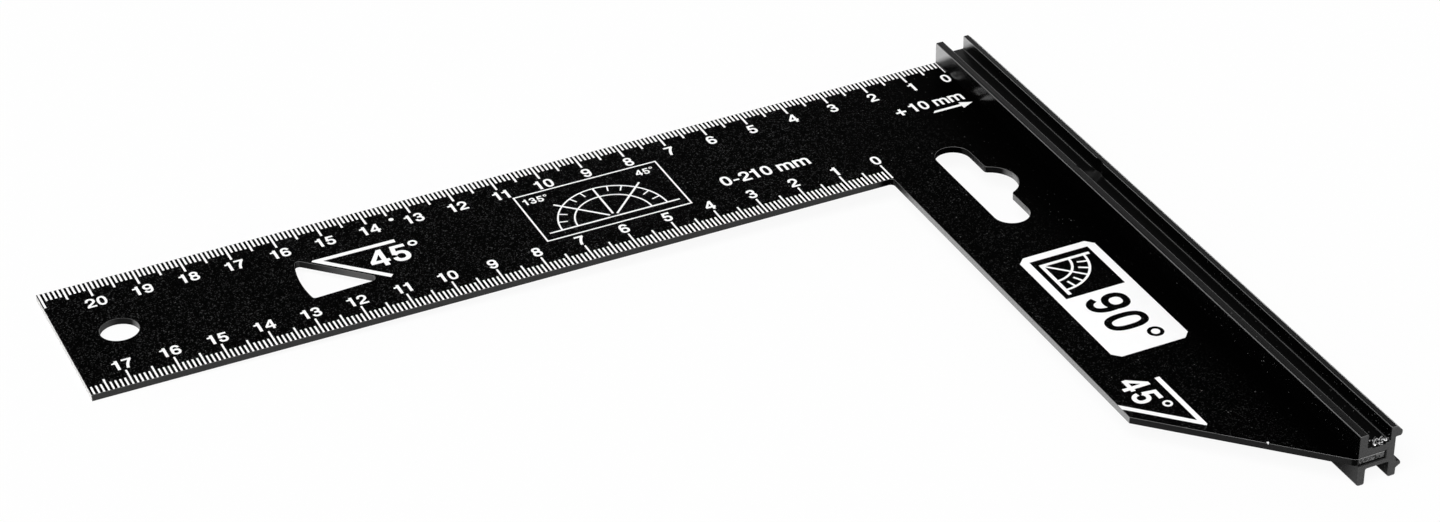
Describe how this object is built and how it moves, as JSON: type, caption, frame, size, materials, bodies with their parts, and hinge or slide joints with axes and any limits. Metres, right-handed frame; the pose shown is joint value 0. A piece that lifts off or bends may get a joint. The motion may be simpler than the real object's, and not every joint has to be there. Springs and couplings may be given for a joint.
{
  "type": "carpenter square",
  "caption": "Fixed carpenter's square: a black steel L-shaped plate with millimetre scales, a hanging hole and a mitre notch, held in the slot of an aluminium stock.",
  "frame": {"origin": "the outer scale's zero: where the stock's inner guide face meets the blade's outer edge, at half the plate's thickness", "axes": "the blade runs to -X, the stock runs to -Y, +Y out of the blade's outer edge, +Z out of the printed face"},
  "size_m": [0.2205, 0.169, 0.0118],
  "materials": {
    "painted_plate": "fine-grained matte black coating on steel",
    "black_extrusion": "satin black anodised aluminium",
    "white_ink": "flat white printed ink"
  },
  "bodies": {
    "root": {"blade": "painted_plate", "stock": "black_extrusion", "outer_scale": "white_ink", "inner_scale": "white_ink", "angle_marks": "white_ink"}
  },
  "joints": []
}
